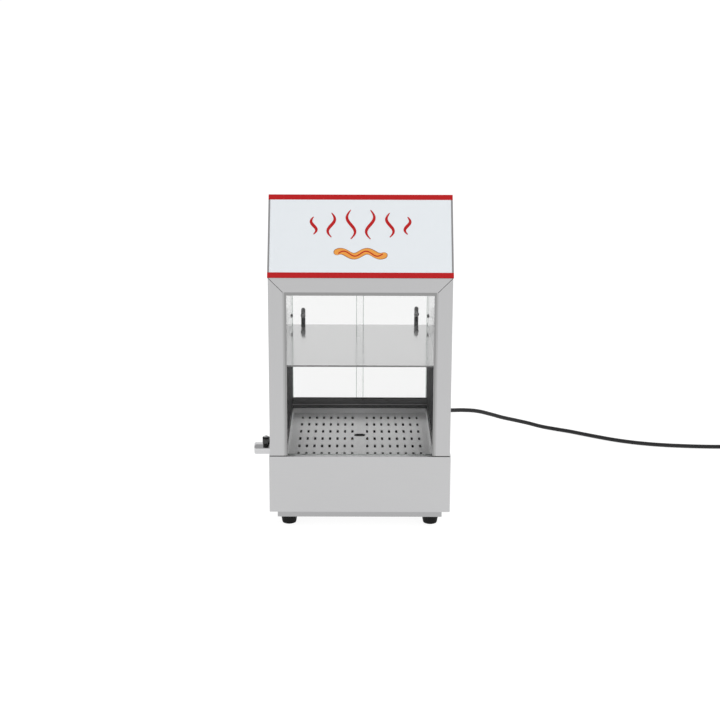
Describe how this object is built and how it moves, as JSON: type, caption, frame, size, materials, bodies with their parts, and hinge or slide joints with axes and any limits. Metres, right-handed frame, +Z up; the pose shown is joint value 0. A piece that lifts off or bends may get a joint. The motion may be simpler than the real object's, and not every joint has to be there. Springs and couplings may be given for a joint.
{
  "type": "hot dog steamer",
  "caption": "Counter-top steel steamer: water bath under a perforated tray, bun shelf, glass front, sliding glass doors at the back, drain valve and leaning sign header.",
  "frame": {"origin": "middle of the object's footprint at table level, the mains lead and its strain relief left out; the cabinet's own middle is 19.75 mm to the right, because the drain valve stands out on the left", "axes": "+Z up, the sign and the glass front face -Y, +X to the right seen from the front"},
  "size_m": [1.0521, 0.552, 0.5516],
  "materials": {
    "brushed_steel": "fine brushed stainless sheet",
    "pan_steel": "satin stainless sheet",
    "bright_steel": "bright annealed stainless sheet",
    "bead_grey": "dull folded steel",
    "track_grey": "dull grey extrusion",
    "clear_glass": "clear tempered glass",
    "pull_grey": "satin grey",
    "fastener_steel": "bright zinc plated",
    "chrome": "chrome plated brass",
    "element_sheath": "heat tinted stainless tube",
    "brass": "turned brass",
    "copper": "copper",
    "black_rubber": "matt black rubber",
    "red_silicone": "red silicone",
    "sign_white": null,
    "trim_red": "gloss red",
    "black_plastic": "moulded black plastic",
    "bakelite": "moulded thermoset",
    "ceramic": "glazed ceramic",
    "lamp_amber": "translucent amber lens",
    "cord_black": "black rubber sheath",
    "tie_grey": "woven hook and loop strap"
  },
  "bodies": {
    "cabinet": {"base_shell": "brushed_steel", "bottom_pan": "pan_steel", "feet": "black_rubber", "foot_screws": "fastener_steel", "base_gasket": "black_rubber", "water_tank": "bright_steel", "heating_element": "element_sheath", "element_bushings": "brass", "element_clips": "fastener_steel", "drain_pipe": "chrome", "drain_nuts": "chrome", "drain_seals": "red_silicone", "valve_body": "chrome", "front_frame_left": "brushed_steel", "front_frame_right": "brushed_steel", "front_frame_top": "brushed_steel", "glass_bead": "bead_grey", "front_glass": "clear_glass", "side_panel_left": "brushed_steel", "side_panel_right": "brushed_steel", "side_liner_left": "bright_steel", "side_liner_right": "bright_steel", "rear_frame_left": "brushed_steel", "rear_frame_right": "brushed_steel", "rear_frame_top": "brushed_steel", "ceiling_panel": "bright_steel", "door_track_lower": "track_grey", "door_track_upper": "track_grey", "shelf_ledges": "bright_steel", "wall_screws": "fastener_steel", "hood_shell": "brushed_steel", "hood_ends": "brushed_steel", "sign_panel": "sign_white", "sign_trims": "trim_red", "case_screws": "fastener_steel", "thermostat_body": "bakelite", "thermostat_bulb": "copper", "switch_housing": "black_plastic", "pilot_lamp": "lamp_amber", "terminal_block": "ceramic", "strain_relief": "cord_black", "power_cord": "cord_black", "cord_coil": "cord_black", "cord_tie": "tie_grey", "mains_plug": "cord_black"},
    "left_door": {"door_glass_left": "clear_glass", "door_pull_left": "pull_grey", "door_screws_left": "fastener_steel"},
    "right_door": {"door_glass_right": "clear_glass", "door_pull_right": "pull_grey", "door_screws_right": "fastener_steel"},
    "steam_tray": {"perforated_tray": "bright_steel", "tray_rim": "bright_steel"},
    "shelf": {"bun_shelf": "bright_steel"},
    "drain_lever": {"valve_ball": "chrome", "valve_stem": "chrome", "valve_lever": "black_plastic", "lever_screw": "fastener_steel"},
    "thermostat": {"thermostat_knob": "black_plastic"},
    "rocker": {"switch_rocker": "black_plastic"}
  },
  "joints": [
    {"name": "left_door_slide", "type": "slide", "parent": "cabinet", "child": "left_door", "axis": [1, 0, 0], "range_m": [0, 0.116]},
    {"name": "right_door_slide", "type": "slide", "parent": "cabinet", "child": "right_door", "axis": [-1, 0, 0], "range_m": [0, 0.116]},
    {"name": "tray_lift", "type": "slide", "parent": "cabinet", "child": "steam_tray", "axis": [0, 0, 1], "range_m": [0, 0.12]},
    {"name": "shelf_lift", "type": "slide", "parent": "cabinet", "child": "shelf", "axis": [0, 0, 1], "range_m": [0, 0.11]},
    {"name": "drain_turn", "type": "hinge", "parent": "cabinet", "child": "drain_lever", "pos_m": [-0.15025, 0.0693, 0.0608], "axis": [0, 0, 1], "range_deg": [-90, 0]},
    {"name": "thermostat_turn", "type": "hinge", "parent": "cabinet", "child": "thermostat", "pos_m": [-0.04025, 0.1713, 0.08], "axis": [0, -1, 0], "range_deg": [0, 270]},
    {"name": "rocker_tilt", "type": "hinge", "parent": "cabinet", "child": "rocker", "pos_m": [0.08175, 0.1528, 0.08], "axis": [1, 0, 0], "range_deg": [0, 14]}
  ]
}
